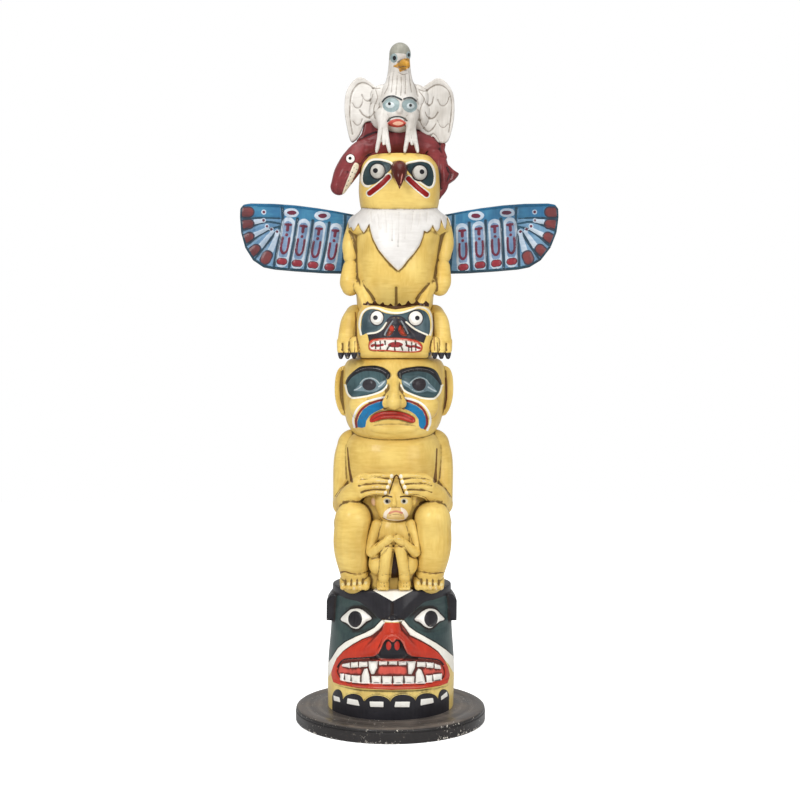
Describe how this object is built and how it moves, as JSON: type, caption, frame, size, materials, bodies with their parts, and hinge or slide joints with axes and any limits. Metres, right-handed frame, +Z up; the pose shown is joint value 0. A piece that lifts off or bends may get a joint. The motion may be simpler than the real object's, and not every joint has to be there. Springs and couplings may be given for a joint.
{
  "type": "totem pole",
  "caption": "Painted totem pole of stacked figures, from a bear's face up to a thunderbird with spread flat wings, topped by a whale and an eagle, on a round base.",
  "frame": {"origin": "centre of the flat underside of the round base", "axes": "+Z up, the front faces -Y, and +X is on a viewer's right who looks at the front"},
  "size_m": [1.016, 0.6, 2.136],
  "materials": {
    "base": "worn dark paint",
    "pole": "satin varnished paint",
    "wings": "satin varnished paint",
    "whale": "satin varnished paint",
    "eagle": "satin varnished paint"
  },
  "bodies": {
    "root": {"base_disc": "base", "pole": "pole", "wing_left": "wings", "wing_right": "wings", "whale": "whale", "eagle": "eagle"}
  },
  "joints": []
}
